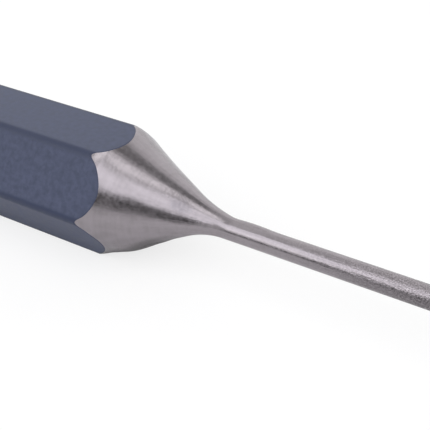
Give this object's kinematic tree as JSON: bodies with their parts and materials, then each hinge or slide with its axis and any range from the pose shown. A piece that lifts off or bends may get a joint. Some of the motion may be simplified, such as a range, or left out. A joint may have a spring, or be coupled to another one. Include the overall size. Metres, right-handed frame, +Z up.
{
  "type": "pin punch",
  "caption": "Pin punch: a painted hexagonal steel bar, ground down to a round taper and a slim parallel pin, with a bevelled striking head.",
  "frame": {"origin": "on the surface that the punch lies on, under the middle of its length and of its width", "axes": "+X along the tool towards the pin, +Z up from the flat it lies on, +Y across"},
  "size_m": [0.15, 0.0114, 0.01],
  "materials": {
    "ground_steel": "bare satin tool steel, ground round the axis, faintly grained",
    "slate_paint": "satin slate-blue paint with a faint mottle"
  },
  "bodies": {
    "root": {"steel_blank": "ground_steel", "paint_coat": "slate_paint"}
  },
  "joints": []
}
